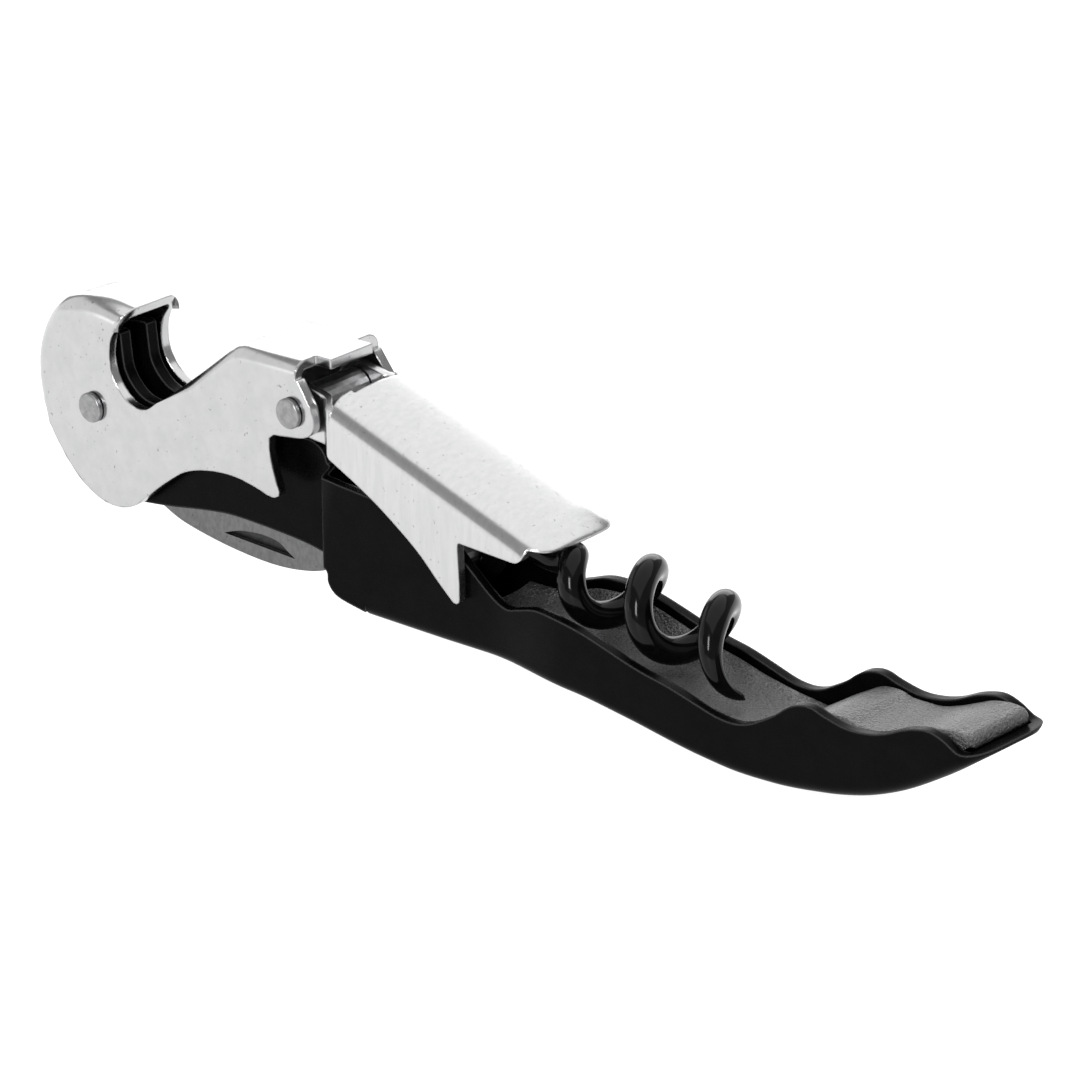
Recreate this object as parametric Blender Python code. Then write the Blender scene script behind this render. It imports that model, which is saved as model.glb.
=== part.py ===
"""Lever corkscrew: folded double-hinged waiter's corkscrew.

A black channel-shaped handle carries a two-stage chromed lever, a coated worm
and a foil knife.  Lengths below are in millimetres and are turned into metres
when a mesh is made.  Side views are (x, z): x runs from the lever rivet towards
the handle's tail, z is up, and y is across, with the object symmetric about y = 0.
"""
import math

import bmesh
import bpy
from mathutils import Vector

MM = 0.001

# ---- overall -------------------------------------------------------------
HOOK_X = -8.9            # back of the bottle-opener hook
TAIL_X = 112.6           # end of the handle

# ---- joint axes (all run across the object) --------------------------------
LEVER_AXIS = (0.0, 11.8)
JOINT_AXIS = (29.1, 19.75)
WORM_AXIS = (47.6, 9.9)
KNIFE_AXIS = (5.2, 5.6)

# ---- handle --------------------------------------------------------------
NECK_HALF = 2.4
NECK_WALL = 1.3
BOX_HALF = 4.7
BODY_HALF = 5.75         # widest, under the worm
TAIL_HALF = 5.4
SHELL_WALL = 1.0
SHELL_BEND = 1.3
BOX_START = 30.7
FLOOR_START = 37.5
FOOT_X = (80.5, 88.5)    # flat that the handle rests on
TAIL_ROUND = 1.6
FOOT_Z = -0.3            # underside of that flat; the object's base

# ---- first lever ----------------------------------------------------------
FIRST_HALF = 3.9         # half width at the lever rivet
FIRST_TAPER = 0.0586     # half width gained per millimetre of length
FIRST_WALL = 1.0
FIRST_BEND = 1.5
TONGUE_HALF = 2.8
TONGUE_END = 31.7
LOBE_FRONT = 29.7         # front edge of the web beside the tongue
LOBE_TOP = 23.2
HOOK_ROUND = 1.4          # growth of the bend radius towards the hook's lip
SLOT_HALF = 1.3           # slot in the lower end of the hook's web, clear of the opened knife
SLOT_TOP = 12.3

# ---- second lever ----------------------------------------------------------
EAR_HALF = 4.3
EAR_WALL = 0.9
EAR_RADIUS = 2.6
SECOND_HALF = 6.0
SECOND_WALL = 1.0
SECOND_BEND = 2.6
SECOND_START = 34.4
SECOND_RISE = 22.9          # height of the web at its rear edge
SECOND_SLOPE = -0.293
NOSE_X = 61.2
NOSE_ROUND = 3.4
NOSE_DROP = 0.9             # how far the web falls over the nose
NOSE_NARROWING = 0.3        # share of the nose round taken off each side
REAR_STEP_HALF = 2.95       # step in the web's rear edge, clear of the swinging tongue
REAR_STEP_DEPTH = 0.45

# ---- worm ----------------------------------------------------------------
WIRE_RADIUS = 1.35
COIL_RADIUS = 3.15
COIL_PITCH = 8.95
COIL_SLOPE = -0.098
COIL_TOP_X = 77.9        # crest of the last full turn
EYE_RADIUS = 2.45
GROWTH_START = 57.0
GROWTH_END = 64.0
POINT_LENGTH = 3.4

# ---- pins and rivets --------------------------------------------------------
RIVET_RADIUS = 1.2
HEAD_RADIUS = 1.5
HEAD_HEIGHT = 0.6
BORE_PLAY = 0.08
WASHER_RADIUS = 2.7
WORM_PIN_RADIUS = 1.0
KNIFE_PIN_RADIUS = 1.0
SPRING_PIN_RADIUS = 0.7
SPRING_PINS = ((14.5, 10.7), (21.5, 11.4))
SIDE_PLAY = 0.12            # between washers and the plates beside them
HEAD_PLAY = 0.1             # between a rivet head and its plate
SPACER_PLAY = 0.15
INSERT_PLAY = 0.25

# ---- knife ---------------------------------------------------------------
BLADE_HALF = 0.5
TANG_RADIUS = 2.5
BLADE_TIP = (35.4, 6.6)

ROUND_STEPS = 24


# ---- curves ----------------------------------------------------------------
def smooth(points, steps=4):
    """Points of a smooth open curve through the given points."""
    result = []
    ends = [points[0]] + list(points) + [points[-1]]
    for i in range(1, len(ends) - 2):
        a, b, c, d = ends[i - 1], ends[i], ends[i + 1], ends[i + 2]
        for k in range(steps):
            t = k / steps
            result.append(tuple(
                0.5 * (2 * b[j] + (c[j] - a[j]) * t
                       + (2 * a[j] - 5 * b[j] + 4 * c[j] - d[j]) * t ** 2
                       + (3 * b[j] - a[j] - 3 * c[j] + d[j]) * t ** 3)
                for j in range(2)))
    result.append(tuple(points[-1]))
    return result


def arc(centre, radius, start, end, steps):
    """Points of an arc; angles in degrees, counter-clockwise from +x."""
    result = []
    for k in range(steps + 1):
        angle = math.radians(start + (end - start) * k / steps)
        result.append((centre[0] + radius * math.cos(angle), centre[1] + radius * math.sin(angle)))
    return result


def height_at(points, x):
    """Monotone cubic through the points, level between equal heights."""
    if x <= points[0][0]:
        return points[0][1]
    if x >= points[-1][0]:
        return points[-1][1]
    rises = [(q[1] - p[1]) / (q[0] - p[0]) for p, q in zip(points, points[1:])]
    slopes = [rises[0]]
    for before, after in zip(rises, rises[1:]):
        slopes.append(2 * before * after / (before + after) if before * after > 0 else 0.0)
    slopes.append(rises[-1])
    i = max(k for k in range(len(points) - 1) if points[k][0] <= x)
    (x0, z0), (x1, z1) = points[i], points[i + 1]
    run = x1 - x0
    t = (x - x0) / run
    return ((2 * t ** 3 - 3 * t ** 2 + 1) * z0 + (t ** 3 - 2 * t ** 2 + t) * run * slopes[i]
            + (3 * t ** 2 - 2 * t ** 3) * z1 + (t ** 3 - t ** 2) * run * slopes[i + 1])


def blend(x, start, end):
    """0 before start, 1 after end, smooth between."""
    t = min(max((x - start) / (end - start), 0.0), 1.0)
    return t * t * (3 - 2 * t)


def span(start, end, step):
    """Evenly spaced values from start to end, about step apart."""
    count = max(1, round((end - start) / step))
    return [start + (end - start) * k / count for k in range(count + 1)]


# ---- handle outlines ---------------------------------------------------------
BELLY = [(37.0, 0.85), (46.4, 1.2), (56.7, 1.6), (64.4, 1.5), (71.8, 0.85), (77.3, 0.15),
         (FOOT_X[0], FOOT_Z), (FOOT_X[1], FOOT_Z), (94.7, 0.85), (98.9, 1.95), (103.1, 3.7),
         (108.5, 6.95), (TAIL_X, 9.9)]
WALL_TOP = [(38.0, 13.4), (46.2, 13.2), (50.2, 10.6), (53.8, 8.0), (55.9, 7.3), (57.6, 7.8),
            (60.6, 8.65), (65.6, 8.35), (72.6, 6.8), (76.7, 6.2), (79.5, 5.6), (82.5, 4.95),
            (84.5, 4.9), (86.0, 5.25), (87.2, 5.85), (89.2, 7.1), (90.8, 8.4), (92.2, 9.05),
            (93.6, 9.2), (95.2, 8.8), (97.8, 8.45), (100.2, 8.75), (102.2, 9.4), (104.2, 10.4),
            (106.0, 11.0), (107.3, 11.15), (108.8, 10.75), (110.2, 10.05), (111.2, 10.0),
            (112.0, 10.4), (TAIL_X + 1, 11.0)]
INSERT_TOP = [(51.5, 6.2), (55.9, 6.5), (60.0, 7.7), (64.0, 7.9), (66.0, 7.7), (70.0, 6.8),
              (72.6, 6.2), (76.7, 5.6), (80.0, 4.95), (84.7, 4.5), (87.5, 4.4), (88.7, 5.1), (92.0, 7.2), (94.7, 8.5), (96.1, 8.6),
              (97.6, 8.3), (100.5, 8.45), (103.0, 9.2), (105.0, 10.1), (107.2, 11.0),
              (109.2, 11.3), (110.9, 11.15)]
TROUGH = [(51.5, 0.4), (55.9, 0.9), (60.0, 1.85), (64.0, 2.2), (66.0, 2.15), (70.0, 1.6),
          (72.6, 1.3), (76.7, 1.0), (80.0, 1.0), (82.5, 0.85), (87.5, 0.0)]     # depth under the worm
TROUGH_POWER = 2.6
INSERT_X = (51.5, 110.9)


def shell_half(x):
    """Outer half width of the handle."""
    half = NECK_HALF + (BOX_HALF - NECK_HALF) * blend(x, BOX_START, BOX_START + 1.4)
    half += (BODY_HALF - BOX_HALF) * blend(x, 53.0, 64.0)
    half -= (BODY_HALF - TAIL_HALF) * blend(x, 76.0, 92.0)
    into_tail = max(0.0, x - (TAIL_X - TAIL_ROUND)) / TAIL_ROUND
    return half - TAIL_ROUND * (1 - math.sqrt(1 - min(into_tail, 1.0) ** 2))


def shell_wall(x):
    return NECK_WALL + (SHELL_WALL - NECK_WALL) * blend(x, BOX_START, BOX_START + 1.4)


def shell_floor(x):
    """Underside of the handle's floor; there is none ahead of FLOOR_START."""
    return height_at(BELLY, x) if x >= FLOOR_START else -12.0


def neck_outline():
    """Side view of the whole handle, anticlockwise from the lower lobe."""
    x, z = LEVER_AXIS
    outline = [(3.7, 2.5), (8.8, 3.3)]
    outline += smooth([(14.3, 4.4), (18.5, 4.9), (26.6, 4.9), (31.0, 4.4)], 3)[:-1]
    outline += [(32.5, 4.3), (32.6, 2.9)]
    outline += smooth([(33.2, 1.9), (34.4, 1.25), (FLOOR_START, height_at(BELLY, FLOOR_START))], 2)
    outline += [(FLOOR_START + 0.5, -2.0), (TAIL_X + 1, -2.0)]
    outline += list(reversed(smooth(WALL_TOP, 3)))
    outline += [(32.0, 13.6), (30.5, 13.9)]
    outline += smooth([(30.3, 14.5), (29.2, 15.5), (27.4, 15.7), (21.0, 14.8), (13.0, 14.2),
                       (9.0, 14.6), (6.2, 15.9), (4.6, 17.8), (3.7, 19.7)], 3)
    outline += smooth([(2.6, 19.9), (-1.0, 19.0), (-4.3, 16.2), (-5.6, 13.2)], 3)
    outline += arc((x, z), 5.8, 180, 278, 8)
    return outline


# ---- first lever outline -------------------------------------------------------
HOOK_WEB = smooth([(-8.4, 9.9), (HOOK_X, 12.8), (-8.6, 15.9), (-7.2, 19.1), (-5.1, 21.4),
                   (-2.6, 22.5), (0.6, 22.95), (5.3, 22.9)], 3)
BACK_WEB = ([(14.0, 18.6), (19.3, 22.9)] + smooth([(20.0, 23.4), (20.8, 23.9), (21.9, 24.25)], 2)
            + [(LOBE_FRONT, 24.85), (TONGUE_END, 24.95)])


def first_outline():
    """Side view of the first lever, clockwise, as (x, z, share of the bend radius)."""
    notch = smooth([(4.8, 22.0), (3.8, 21.2), (2.9, 20.1), (2.6, 18.8), (2.6, 17.6), (2.95, 16.1),
                    (3.8, 14.8), (5.1, 13.85), (6.6, 13.5), (8.0, 13.8), (9.5, 14.9)], 2)
    lobe = [(TONGUE_END, LOBE_TOP + 0.1), (29.95, LOBE_TOP + 0.1)]
    lobe += smooth([(31.8, 20.9), (32.1, 19.8), (32.05, 18.8), (31.5, 18.0), (30.4, 17.5)], 2)
    lobe += [(28.4, 17.05), (26.0, 16.6), (25.6, 16.1)]
    tooth = smooth([(25.7, 14.8), (26.1, 13.1), (26.9, 10.9)], 2)
    tooth += [(26.7, 10.4), (25.9, 10.15), (25.0, 10.2)]
    arch = smooth([(23.4, 10.5), (20.4, 10.65), (16.8, 10.1), (13.4, 8.9), (10.2, 6.7),
                   (7.3, 4.3)], 3)
    lower = smooth([(6.0, 3.2), (4.2, 2.4), (2.2, 2.1), (0.0, 2.4), (-2.4, 3.5), (-4.9, 5.65),
                    (-6.85, 8.1)], 2)
    outline = [(x, z, 1.0 + (HOOK_ROUND - 1.0) * blend(x, -8.0, 0.0)) for x, z in HOOK_WEB]
    outline += [(x, z, 0.0) for x, z in notch]
    outline += [(x, z, 1.0) for x, z in BACK_WEB]
    outline += [(x, z, 0.0) for x, z in lobe + tooth + arch + lower]
    return outline


def inset_path(points, distance):
    """Open path moved to the right of its direction."""
    result = []
    for i, (x, z) in enumerate(points):
        x0, z0 = points[max(i - 1, 0)]
        x1, z1 = points[min(i + 1, len(points) - 1)]
        length = math.hypot(x1 - x0, z1 - z0)
        result.append((x + distance * (z1 - z0) / length, z - distance * (x1 - x0) / length))
    return result


def first_cavity():
    """Side view of the space inside the first lever's web, clockwise."""
    hook = inset_path(HOOK_WEB, FIRST_WALL)
    back = inset_path(BACK_WEB, FIRST_WALL)
    cavity = [(-12.0, -6.0, 0.0), (-12.0, hook[0][1], 0.0)]
    cavity += [(x, z, 1.0 + (HOOK_ROUND - 1.0) * blend(x, -8.0, 0.0)) for x, z in hook]
    cavity += [(6.0, hook[-1][1], 0.0), (13.6, 19.1, 0.0)]
    cavity += [(x, z, 1.0) for x, z in back]
    cavity += [(36.0, back[-1][1], 0.0), (36.0, -6.0, 0.0)]
    return cavity


def first_half(x):
    return FIRST_HALF + FIRST_TAPER * x


# ---- second lever outline --------------------------------------------------------
def second_half(x):
    half = EAR_HALF + (SECOND_HALF - EAR_HALF) * blend(x, 32.0, 34.4)
    into_nose = max(0.0, x - (NOSE_X - NOSE_ROUND)) / NOSE_ROUND
    return half - NOSE_ROUND * NOSE_NARROWING * (1 - math.sqrt(1 - min(into_nose, 1.0) ** 2))


def second_wall(x):
    return EAR_WALL + (SECOND_WALL - EAR_WALL) * blend(x, 32.0, 34.4)


def second_web(x):
    """Top of the second lever's web, with the nose curved down; no web over the ears."""
    if x < SECOND_START:
        return 36.0
    into_nose = max(0.0, x - (NOSE_X - NOSE_ROUND)) / NOSE_ROUND
    drop = NOSE_DROP * (1 - math.sqrt(1 - min(into_nose, 1.0) ** 2))
    return SECOND_RISE + SECOND_SLOPE * (x - SECOND_START) - drop


def second_outline():
    """Side view of the second lever, anticlockwise from the ear's underside."""
    x, z = JOINT_AXIS
    outline = arc((x, z), EAR_RADIUS, 95, 262, 10)
    outline += smooth([(31.0, 17.0), (33.6, 16.9), (34.3, 16.6), (38.2, 14.9), (41.5, 13.2),
                       (45.6, 10.6), (48.4, 8.2), (50.0, 6.9)], 3)
    outline += [(50.7, 6.65), (51.0, 6.9), (51.0, 8.7), (50.8, 12.4), (51.0, 12.9)]
    outline += [(58.2, 12.9), (58.8, 13.3), (59.3, 14.4), (62.5, 14.0), (62.5, 28.0)]
    outline += [(SECOND_START + 0.02, 28.0), (SECOND_START + 0.02, 21.3), (31.6, 21.9)]
    return outline


# ---- meshes ------------------------------------------------------------------
def material(name, colour, metallic, roughness):
    """A Principled material."""
    mat = bpy.data.materials.new(name)
    mat.use_nodes = True
    shader = mat.node_tree.nodes["Principled BSDF"]
    shader.inputs["Base Color"].default_value = (*colour, 1.0)
    shader.inputs["Metallic"].default_value = metallic
    shader.inputs["Roughness"].default_value = roughness
    return mat


def finish_mesh(name, mesh_data, mat=None, smooth_angle=35):
    """Turn a bmesh in millimetres into an object in metres."""
    bmesh.ops.recalc_face_normals(mesh_data, faces=mesh_data.faces)
    if mesh_data.calc_volume(signed=True) < 0:
        bmesh.ops.reverse_faces(mesh_data, faces=mesh_data.faces)
    bmesh.ops.scale(mesh_data, vec=(MM, MM, MM), verts=mesh_data.verts)
    mesh = bpy.data.meshes.new(name)
    mesh_data.to_mesh(mesh)
    mesh_data.free()
    obj = bpy.data.objects.new(name, mesh)
    bpy.context.scene.collection.objects.link(obj)
    if mat is None:
        obj.hide_render = True
        obj.display_type = "WIRE"
    else:
        mesh.materials.append(mat)
        mesh.shade_smooth()
        mesh.set_sharp_from_angle(angle=math.radians(smooth_angle))
    return obj


def loft(name, rings, mat=None):
    """Closed body through rings of the same number of points."""
    bm = bmesh.new()
    loops = [[bm.verts.new(p) for p in ring] for ring in rings]
    count = len(rings[0])
    for a, b in zip(loops, loops[1:]):
        for i in range(count):
            j = (i + 1) % count
            bm.faces.new((a[i], a[j], b[j], b[i]))
    bm.faces.new(loops[0])
    bm.faces.new(list(reversed(loops[-1])))
    return finish_mesh(name, bm, mat)


def prism(name, outline, y_low, y_high, mat=None):
    """Side outline (x, z) carried across from y_low to y_high."""
    return loft(name, [[(x, y, z) for x, z in outline] for y in (y_low, y_high)], mat)


def turned(name, axis, profile, mat=None, steps=ROUND_STEPS):
    """Solid turned about a cross axis; profile is (radius, y) from one end to the other."""
    rings = []
    for radius, y in profile:
        rings.append([(px, y, pz) for px, pz in arc(axis, radius, 0, 360, steps)[:-1]])
    return loft(name, rings, mat)


def tube(name, axis, inner, outer, y_low, y_high, mat=None, steps=ROUND_STEPS):
    """Plain ring or washer about a cross axis."""
    bm = bmesh.new()
    loops = []
    for radius, y in ((outer, y_low), (outer, y_high), (inner, y_high), (inner, y_low)):
        loops.append([bm.verts.new((px, y, pz)) for px, pz in arc(axis, radius, 0, 360, steps)[:-1]])
    for k in range(4):
        a, b = loops[k], loops[(k + 1) % 4]
        for i in range(steps):
            j = (i + 1) % steps
            bm.faces.new((a[i], a[j], b[j], b[i]))
    return finish_mesh(name, bm, mat)


def combine(target, tool, operation):
    """Exact Boolean of target with a hidden tool."""
    mod = target.modifiers.new(operation.title(), "BOOLEAN")
    mod.operation = operation
    mod.solver = "EXACT"
    mod.object = tool


def channel(name, stations, half, wall, web, open_z, bend, mat):
    """Folded-sheet channel along x; the web is at web(x) and the walls run to open_z."""
    side = 1 if open_z > web(stations[-1]) else -1
    corner = [math.radians(90 * k / 4) for k in range(5)]
    rings = []
    for x in stations:
        w, t, z = half(x), wall(x), web(x)
        slope = (web(x + 0.05) - web(x - 0.05)) / 0.1
        slope = min(max(slope, -1.6), 1.6)
        thick = t * math.sqrt(1 + slope ** 2)
        ring = [(x, -w, open_z)]
        for a in corner:
            ring.append((x, -w + bend * (1 - math.cos(a)), z + side * bend * (1 - math.sin(a))))
        for a in reversed(corner):
            ring.append((x, w - bend * (1 - math.cos(a)), z + side * bend * (1 - math.sin(a))))
        ring.append((x, w, open_z))
        inner_w, inner_z, inner_bend = w - t, z + side * thick, bend - t
        ring.append((x, inner_w, open_z))
        for a in corner:
            ring.append((x, inner_w - inner_bend * (1 - math.cos(a)),
                         inner_z + side * inner_bend * (1 - math.sin(a))))
        for a in reversed(corner):
            ring.append((x, -inner_w + inner_bend * (1 - math.cos(a)),
                         inner_z + side * inner_bend * (1 - math.sin(a))))
        ring.append((x, -inner_w, open_z))
        rings.append(ring)
    return loft(name, rings, mat)


def bent_slab(name, outline, half, bend, mat=None):
    """Solid of a side outline (x, z, share) whose side edges are rounded by share * bend."""
    count = len(outline)
    normals = []
    for i in range(count):
        (x0, z0, _), (x1, z1, _) = outline[i - 1], outline[(i + 1) % count]
        length = math.hypot(x1 - x0, z1 - z0)
        normals.append(((z1 - z0) / length, -(x1 - x0) / length))
    levels = [math.radians(90 * k / 4) for k in range(5)]
    rings = []
    for side in (-1, 1):
        for a in levels if side < 0 else reversed(levels):
            sink = bend * (1 - math.sin(a))
            ring = []
            for (x, z, share), (nx, nz) in zip(outline, normals):
                rise = bend * max(share, 1.0) * (1 - math.cos(a))
                px, pz = x + nx * sink * share, z + nz * sink * share
                ring.append((px, side * (half(px) - rise), pz))
            rings.append(ring)
    return loft(name, rings, mat)


# ---- pieces ------------------------------------------------------------------
def make_shell(mat):
    stations = [-8.0, 12.0, 24.0, BOX_START]
    stations += span(BOX_START, BOX_START + 1.4, 0.35)[1:]
    stations += [FLOOR_START - 0.02, FLOOR_START] + span(41.0, FOOT_X[0], 3.3)
    stations += span(FOOT_X[0], FOOT_X[1], 8.0)[1:] + span(FOOT_X[1], TAIL_X - TAIL_ROUND, 2.0)[1:]
    stations += [TAIL_X - TAIL_ROUND * share for share in (0.6, 0.3, 0.1, 0.0)]
    shell = channel("handle_shell", stations, shell_half, shell_wall, shell_floor, 30.0,
                    SHELL_BEND, mat)
    combine(shell, prism("handle_side", neck_outline(), -12, 12), "INTERSECT")
    for name, axis, radius in (("lever_rivet_hole", LEVER_AXIS, RIVET_RADIUS),
                               ("knife_pin_hole", KNIFE_AXIS, KNIFE_PIN_RADIUS),
                               ("worm_pin_hole", WORM_AXIS, WORM_PIN_RADIUS),
                               ("spring_pin_hole_front", SPRING_PINS[0], SPRING_PIN_RADIUS),
                               ("spring_pin_hole_rear", SPRING_PINS[1], SPRING_PIN_RADIUS)):
        hole = turned(name, axis, [(radius + BORE_PLAY, -8), (radius + BORE_PLAY, 8)])
        combine(shell, hole, "DIFFERENCE")
    return shell


def make_insert(mat):
    """Moulded filler in the handle's channel with a wavy top."""
    rings = []
    for x in span(INSERT_X[0], INSERT_X[1], 1.5):
        w = shell_half(x) - SHELL_WALL - INSERT_PLAY
        top = height_at(INSERT_TOP, x)
        slope = (shell_floor(x + 0.1) - shell_floor(x - 0.1)) / 0.2
        low = shell_floor(x) + SHELL_WALL * math.sqrt(1 + slope ** 2) + 0.35
        cut = min(0.9, (top - low) * 0.35)
        edge = min(0.4, (top - low) * 0.3)
        ring = [(x, -w, top - edge), (x, -w, low + cut), (x, -w + cut, low),
                (x, w - cut, low), (x, w, low + cut), (x, w, top - edge)]
        for share in (1.0, 0.75, 0.5, 0.25, 0.0, -0.25, -0.5, -0.75, -1.0):
            depth = height_at(TROUGH, x) * (1 - abs(share) ** TROUGH_POWER)
            ring.append((x, (w - edge) * share, top - depth))
        rings.append(ring)
    return loft("handle_insert", rings, mat)


def make_first_lever(mat):
    outer = bent_slab("first_lever", first_outline(), first_half, FIRST_BEND, mat)
    inner = bent_slab("first_lever_inside", first_cavity(), lambda x: first_half(x) - FIRST_WALL,
                      FIRST_BEND - FIRST_WALL)
    combine(outer, inner, "DIFFERENCE")
    for side in (-1, 1):
        low, high = sorted((side * TONGUE_HALF, side * 8.0))
        beyond, above = TONGUE_END + 1.0, BACK_WEB[-1][1] + 2.0
        corner = [(LOBE_FRONT, LOBE_TOP), (beyond, LOBE_TOP), (beyond, above), (LOBE_FRONT, above)]
        combine(outer, prism(f"tongue_corner_{low:.0f}", corner, low, high), "DIFFERENCE")
    slot = [(HOOK_X - 1.0, 0.0), (-6.0, 0.0), (-6.0, SLOT_TOP), (HOOK_X - 1.0, SLOT_TOP)]
    combine(outer, prism("knife_slot", slot, -SLOT_HALF, SLOT_HALF), "DIFFERENCE")
    for name, axis in (("lever_bore", LEVER_AXIS), ("joint_bore", JOINT_AXIS)):
        radius = RIVET_RADIUS + BORE_PLAY
        combine(outer, turned(name, axis, [(radius, -8), (radius, 8)]), "DIFFERENCE")
    return outer


def make_second_lever(mat):
    stations = [25.0, 32.0] + span(32.0, 34.38, 0.4)[1:] + [SECOND_START]
    stations += span(37.0, NOSE_X - NOSE_ROUND, 5.1)
    stations += [NOSE_X - NOSE_ROUND * share for share in (0.7, 0.45, 0.25, 0.1, 0.0)]
    lever = channel("second_lever", stations, second_half, second_wall, second_web, -4.0,
                    SECOND_BEND, mat)
    combine(lever, prism("second_lever_side", second_outline(), -12, 12), "INTERSECT")
    back, front = SECOND_START - 1.0, SECOND_START + REAR_STEP_DEPTH
    step = [(back, SECOND_RISE - 2.5), (front, SECOND_RISE - 2.5), (front, SECOND_RISE + 1.0),
            (back, SECOND_RISE + 1.0)]
    combine(lever, prism("rear_step", step, -REAR_STEP_HALF, REAR_STEP_HALF), "DIFFERENCE")
    radius = RIVET_RADIUS + BORE_PLAY
    combine(lever, turned("ear_bore", JOINT_AXIS, [(radius, -8), (radius, 8)]), "DIFFERENCE")
    return lever


def worm_route():
    """Centre line of the worm's wire with the wire's radius, from eye to point."""
    ex, ez = WORM_AXIS
    lean = math.atan(COIL_SLOPE)
    route = []
    start = math.degrees(lean) + 90
    for k in range(17):
        angle = math.radians(start + 335 * (1 - k / 16))
        route.append((ex + EYE_RADIUS * math.cos(angle), 0.0, ez + EYE_RADIUS * math.sin(angle),
                      WIRE_RADIUS))
    axis_x = ex - EYE_RADIUS * math.sin(lean)
    axis_z = ez + EYE_RADIUS * math.cos(lean)
    last = COIL_TOP_X + COIL_PITCH * (262 - 90) / 360
    for x in span(49.2, last, COIL_PITCH / 14):
        phase = math.radians(90 + 360 * (x - COIL_TOP_X) / COIL_PITCH)
        taper = min(1.0, (last - x) / POINT_LENGTH)
        wire = WIRE_RADIUS * (0.12 + 0.88 * math.sqrt(taper))
        coil = COIL_RADIUS * blend(x, GROWTH_START, GROWTH_END) + (WIRE_RADIUS - wire)
        along = x - axis_x
        off = coil * math.sin(phase)
        route.append((axis_x + along * math.cos(lean) - off * math.sin(lean),
                      coil * math.cos(phase),
                      axis_z + along * math.sin(lean) + off * math.cos(lean), wire))
    return route


def swept(name, route, sides, mat):
    """Round wire along a route of (x, y, z, radius), with its rings kept untwisted."""
    points = [Vector(p[:3]) for p in route]
    rings = []
    normal = Vector((0.0, 1.0, 0.0))
    for i, point in enumerate(points):
        tangent = (points[min(i + 1, len(points) - 1)] - points[max(i - 1, 0)]).normalized()
        normal = (normal - tangent * normal.dot(tangent)).normalized()
        other = tangent.cross(normal)
        radius = route[i][3]
        ring = []
        for k in range(sides):
            angle = 2 * math.pi * k / sides
            ring.append(point + radius * (math.cos(angle) * normal + math.sin(angle) * other))
        rings.append(ring)
    return loft(name, rings, mat)


def blade_outline():
    """Side view of the folded knife, anticlockwise from the tang."""
    outline = arc(KNIFE_AXIS, TANG_RADIUS, 95, 255, 9)
    outline += smooth([(5.4, 2.2), (8.4, 1.1), (13.0, 0.4), (17.5, 0.1), (21.5, 0.15), (25.0, 0.65),
                       (28.0, 1.55), (31.5, 3.4), BLADE_TIP], 3)
    outline += smooth([(34.4, 6.9), (27.0, 7.0), (18.0, 6.9), (12.0, 7.1)], 2)
    outline += [(9.0, 7.6)]
    return outline


def make_blade(mat):
    blade = prism("knife_blade", blade_outline(), -BLADE_HALF, BLADE_HALF, mat)
    bore = KNIFE_PIN_RADIUS + BORE_PLAY
    combine(blade, turned("blade_bore", KNIFE_AXIS, [(bore, -4), (bore, 4)]), "DIFFERENCE")
    nick = smooth([(14.3, 1.5), (17.8, 2.6), (20.9, 2.8), (24.0, 1.6)], 3)
    combine(blade, prism("nail_nick", nick, -BLADE_HALF - 1, -BLADE_HALF + 0.35), "DIFFERENCE")
    return blade


def make_spring(mat):
    """Leaf in the neck whose free end bears on the knife's tang."""
    top = smooth([(27.5, 12.8), (22.0, 12.5), (17.0, 12.1), (12.0, 11.4), (8.0, 10.1)], 2)
    under = smooth([(7.6, 8.7), (9.5, 9.3), (12.0, 9.8), (15.5, 9.5), (22.0, 9.7),
                    (27.5, 10.0)], 2)
    spring = prism("back_spring", top + under, -0.85, 0.85, mat)
    for k, axis in enumerate(SPRING_PINS):
        radius = SPRING_PIN_RADIUS + BORE_PLAY
        hole = turned(f"spring_bore_{k}", axis, [(radius, -4), (radius, 4)], steps=12)
        combine(spring, hole, "DIFFERENCE")
    return spring


def rivet(name, axis, radius, reach, mat):
    """Shank with a low domed head at both ends; reach is half the length under the heads."""
    tip = reach + HEAD_HEIGHT
    side = [(HEAD_RADIUS * 0.45, tip), (HEAD_RADIUS * 0.82, tip - 0.12), (HEAD_RADIUS, tip - 0.35),
            (HEAD_RADIUS, reach), (radius, reach)]
    profile = [(r, -y) for r, y in side] + [(r, y) for r, y in reversed(side)]
    return turned(name, axis, profile, mat)


def plain_pin(name, axis, radius, half, mat, steps=ROUND_STEPS):
    edge = 0.15
    profile = [(radius - edge, -half), (radius, -half + edge), (radius, half - edge),
               (radius - edge, half)]
    return turned(name, axis, profile, mat, steps)


def pair(name, axis, inner, outer, near, far, mat):
    """The two mirrored rings of a joint, one node each side."""
    return [tube(f"{name}_left", axis, inner, outer, near, far, mat),
            tube(f"{name}_right", axis, inner, outer, -far, -near, mat)]


def empty(name, axis):
    obj = bpy.data.objects.new(name, None)
    obj.empty_display_size = 0.004
    obj.location = (axis[0] * MM, 0.0, axis[1] * MM)
    bpy.context.scene.collection.objects.link(obj)
    return obj


def hang_on(parent, pieces):
    """Parent pieces, modelled in place, to an empty that stands on their joint's axis."""
    bpy.context.view_layer.update()
    for piece in pieces:
        piece.parent = parent
        piece.matrix_parent_inverse = parent.matrix_world.inverted()


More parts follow.
